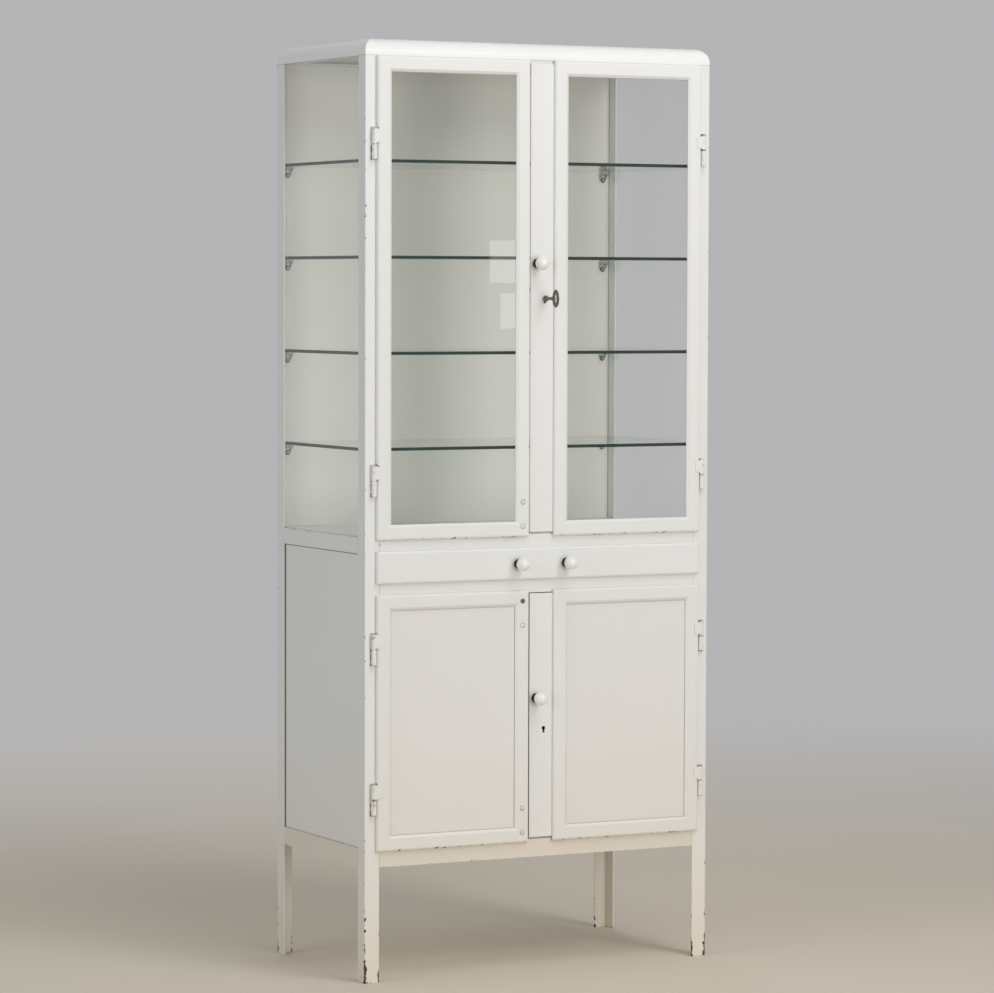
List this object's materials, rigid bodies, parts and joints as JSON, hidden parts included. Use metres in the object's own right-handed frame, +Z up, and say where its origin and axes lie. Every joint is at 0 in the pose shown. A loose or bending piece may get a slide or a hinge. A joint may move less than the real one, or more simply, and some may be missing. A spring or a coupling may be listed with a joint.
{
  "type": "glass door medical cabinet",
  "caption": "Tall free-standing steel cabinet on angle legs with a glazed two-door upper compartment, glass shelves, one wide drawer and a two-door lower cupboard.",
  "frame": {"origin": "on the floor, under the middle of the overall footprint, knobs and key included", "axes": "+Z up, the doors face -Y, +X to the right seen from the front"},
  "size_m": [0.73, 0.4532, 1.75],
  "materials": {
    "enamel": "glossy white enamel, chipped at the edges",
    "panel_enamel": "cream white enamel on sheet steel",
    "pane_glass": "clear window glass",
    "shelf_glass": "clear plate glass with dark green edges",
    "bracket_steel": "enamel over steel with bare lugs",
    "hinge_steel": "enamelled steel worn to metal at the split",
    "porcelain": "glazed white porcelain on an iron collar",
    "lock_iron": "dark oiled iron",
    "bright_steel": "worn bare steel"
  },
  "bodies": {
    "carcass": {"front_left_upright": "enamel", "front_right_upright": "enamel", "rear_left_upright": "enamel", "rear_right_upright": "enamel", "base_frame": "enamel", "front_upper_rail": "enamel", "front_lower_rail": "enamel", "left_middle_rail": "enamel", "right_middle_rail": "enamel", "top_frame": "enamel", "top_cover": "enamel", "left_drawer_runner": "enamel", "right_drawer_runner": "enamel", "back_panel": "panel_enamel", "left_lower_panel": "panel_enamel", "right_lower_panel": "panel_enamel", "cupboard_floor": "panel_enamel", "display_floor": "panel_enamel", "left_side_glass": "pane_glass", "right_side_glass": "pane_glass", "glass_shelf_1": "shelf_glass", "glass_shelf_2": "shelf_glass", "glass_shelf_3": "shelf_glass", "glass_shelf_4": "shelf_glass", "front_left_shelf_strip": "bracket_steel", "front_right_shelf_strip": "bracket_steel", "rear_left_shelf_strip": "bracket_steel", "rear_right_shelf_strip": "bracket_steel", "upper_left_bottom_hinge_pin": "hinge_steel", "upper_left_top_hinge_pin": "hinge_steel", "upper_right_bottom_hinge_pin": "hinge_steel", "upper_right_top_hinge_pin": "hinge_steel", "lower_left_bottom_hinge_pin": "hinge_steel", "lower_left_top_hinge_pin": "hinge_steel", "lower_right_bottom_hinge_pin": "hinge_steel", "lower_right_top_hinge_pin": "hinge_steel"},
    "upper_left_door": {"upper_left_door_frame": "enamel", "upper_left_door_glass": "pane_glass"},
    "upper_right_door": {"upper_right_door_frame": "enamel", "upper_right_door_glass": "pane_glass", "upper_lock_stile": "enamel", "upper_door_knob": "porcelain", "upper_lock_case": "lock_iron"},
    "lower_left_door": {"lower_left_door_frame": "enamel", "lower_left_door_panel": "panel_enamel"},
    "lower_right_door": {"lower_right_door_frame": "enamel", "lower_right_door_panel": "panel_enamel", "lower_lock_stile": "enamel", "lower_door_knob": "porcelain", "lower_lock_case": "lock_iron"},
    "drawer": {"drawer_front": "enamel", "drawer_tray": "panel_enamel", "drawer_left_knob": "porcelain", "drawer_right_knob": "porcelain"},
    "upper_left_bolt": {"upper_left_bottom_bolt": "bright_steel"},
    "lower_left_bolt_down": {"lower_left_bottom_bolt": "bright_steel"},
    "lower_left_bolt_up": {"lower_left_top_bolt": "bright_steel"},
    "upper_key": {"key": "bright_steel"},
    "upper_lock_throw": {"upper_lock_bolt": "bright_steel"},
    "lower_lock_throw": {"lower_lock_bolt": "bright_steel"}
  },
  "joints": [
    {"name": "upper_left_door_hinge", "type": "hinge", "parent": "carcass", "child": "upper_left_door", "pos_m": [-0.3491, -0.17393, 1.27], "axis": [0, 0, -1], "range_deg": [0, 165]},
    {"name": "upper_right_door_hinge", "type": "hinge", "parent": "carcass", "child": "upper_right_door", "pos_m": [0.3491, -0.17393, 1.27], "axis": [0, 0, 1], "range_deg": [0, 165]},
    {"name": "lower_left_door_hinge", "type": "hinge", "parent": "carcass", "child": "lower_left_door", "pos_m": [-0.3491, -0.17393, 0.484], "axis": [0, 0, -1], "range_deg": [0, 165]},
    {"name": "lower_right_door_hinge", "type": "hinge", "parent": "carcass", "child": "lower_right_door", "pos_m": [0.3491, -0.17393, 0.484], "axis": [0, 0, 1], "range_deg": [0, 165]},
    {"name": "drawer_slide", "type": "slide", "parent": "carcass", "child": "drawer", "axis": [0, -1, 0], "range_m": [0, 0.28]},
    {"name": "upper_left_bolt_slide", "type": "slide", "parent": "upper_left_door", "child": "upper_left_bolt", "axis": [0, 0, -1], "range_m": [0, 0.012]},
    {"name": "lower_left_bolt_down_slide", "type": "slide", "parent": "lower_left_door", "child": "lower_left_bolt_down", "axis": [0, 0, -1], "range_m": [0, 0.012]},
    {"name": "lower_left_bolt_up_slide", "type": "slide", "parent": "lower_left_door", "child": "lower_left_bolt_up", "axis": [0, 0, 1], "range_m": [0, 0.012]},
    {"name": "upper_key_turn", "type": "hinge", "parent": "upper_right_door", "child": "upper_key", "pos_m": [0.008, -0.17093, 1.272], "axis": [0, 1, 0], "range_deg": [0, 180]},
    {"name": "upper_lock_throw_slide", "type": "slide", "parent": "upper_right_door", "child": "upper_lock_throw", "axis": [-1, 0, 0], "range_m": [0, 0.01]},
    {"name": "lower_lock_throw_slide", "type": "slide", "parent": "lower_right_door", "child": "lower_lock_throw", "axis": [-1, 0, 0], "range_m": [0, 0.01]}
  ],
  "couplings": [
    {"joint": "upper_lock_throw_slide", "follows": "upper_key_turn", "m_per_rad": 0.003183}
  ]
}
